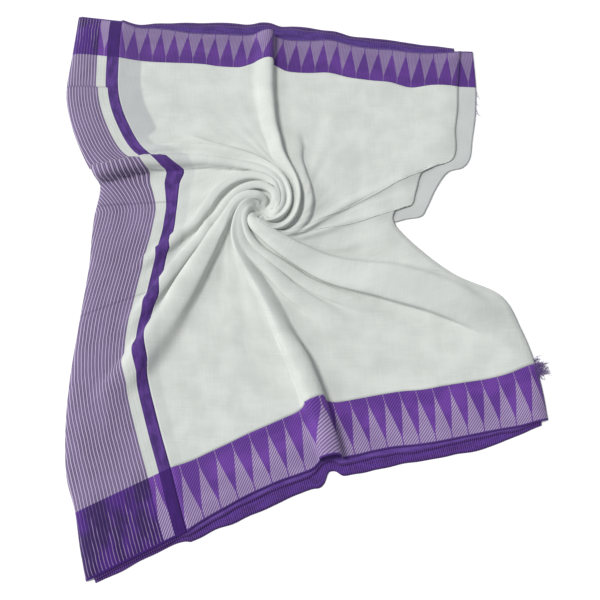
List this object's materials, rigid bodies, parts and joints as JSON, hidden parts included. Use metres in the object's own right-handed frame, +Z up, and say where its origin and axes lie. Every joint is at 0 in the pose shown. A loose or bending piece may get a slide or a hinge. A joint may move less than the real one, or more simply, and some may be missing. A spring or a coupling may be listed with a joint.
{
  "type": "folded saree",
  "caption": "Handloom cotton saree folded in layers and laid flat, twisted at its middle into a rosette, with a striped end piece and woven triangle borders.",
  "frame": {"origin": "middle of the outline, on the surface that the cloth lies on", "axes": "+Z up from the table; +Y across the cloth's width, from its lower border to its upper one; +X along the cloth, away from the striped end piece"},
  "size_m": [0.9488, 1.1516, 0.0399],
  "materials": {
    "white_cotton": "matte loose plain weave",
    "striped_cotton": "matte ribbed stripe weave",
    "border_weave": "soft sheen twill weave",
    "purple_selvedge": "ribbed selvedge",
    "purple_thread": "frayed thread"
  },
  "bodies": {
    "root": {"field": "white_cotton", "end_piece": "striped_cotton", "border_lower": "border_weave", "border_upper": "border_weave", "layers_beneath": "white_cotton", "lower_second_layer": "purple_selvedge", "lower_third_layer": "purple_selvedge", "upper_second_layer": "purple_selvedge", "upper_third_layer": "purple_selvedge", "inner_end": "white_cotton", "frayed_corner": "purple_thread"}
  },
  "joints": []
}
